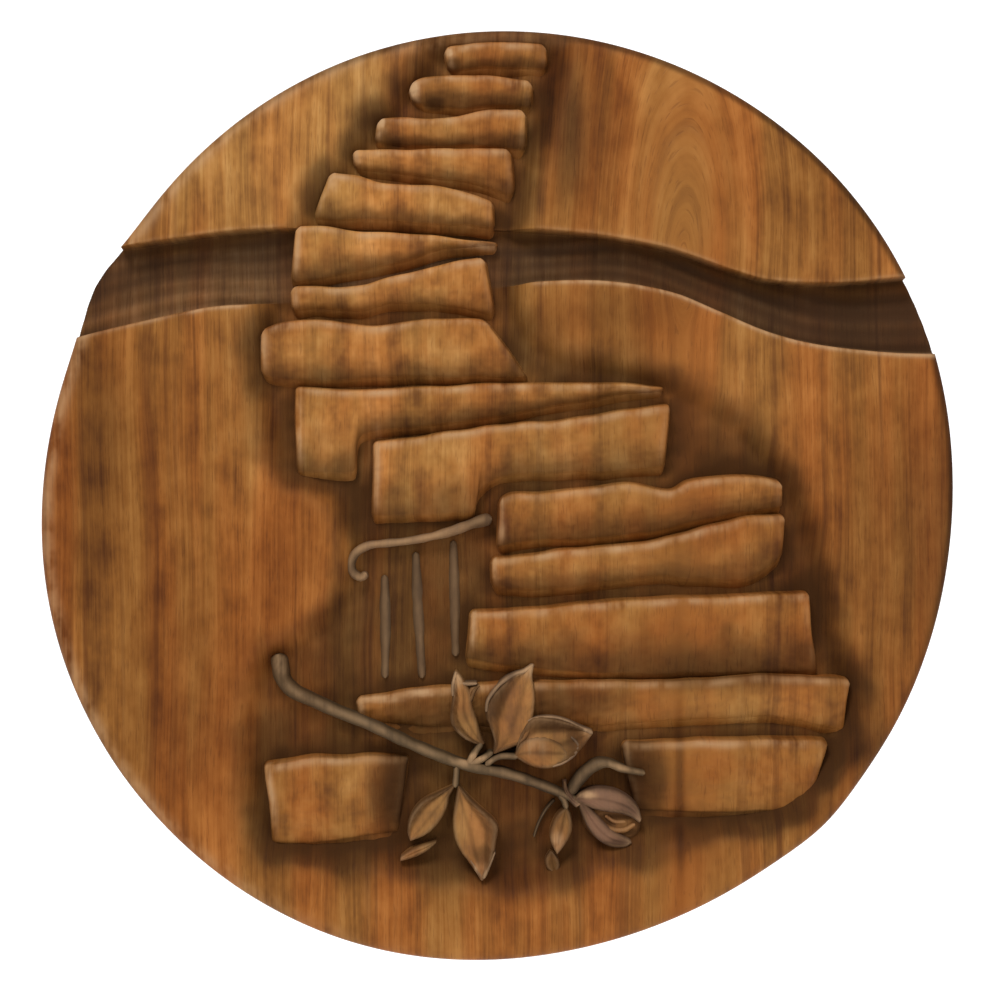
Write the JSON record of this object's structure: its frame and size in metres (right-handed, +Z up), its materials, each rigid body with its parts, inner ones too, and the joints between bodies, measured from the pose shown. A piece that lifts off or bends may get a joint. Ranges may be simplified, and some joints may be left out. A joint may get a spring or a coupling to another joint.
{
  "type": "carved wood wall plaque",
  "caption": "Round wall plaque carved from one thick board, with a plank walk over a river and a rose sprig in relief, flat behind with a keyhole slot.",
  "frame": {"origin": "centre of the flat back, where it meets the wall", "axes": "+Y out of the back into the wall, +Z up the picture, +X to the viewer's right; the carved face looks along -Y"},
  "size_m": [0.3959, 0.032, 0.4034],
  "materials": {
    "stained_wood": "satin stain, dark glaze in the hollows, worn lighter on raised edges"
  },
  "bodies": {
    "root": {"carved_panel": "stained_wood"}
  },
  "joints": []
}
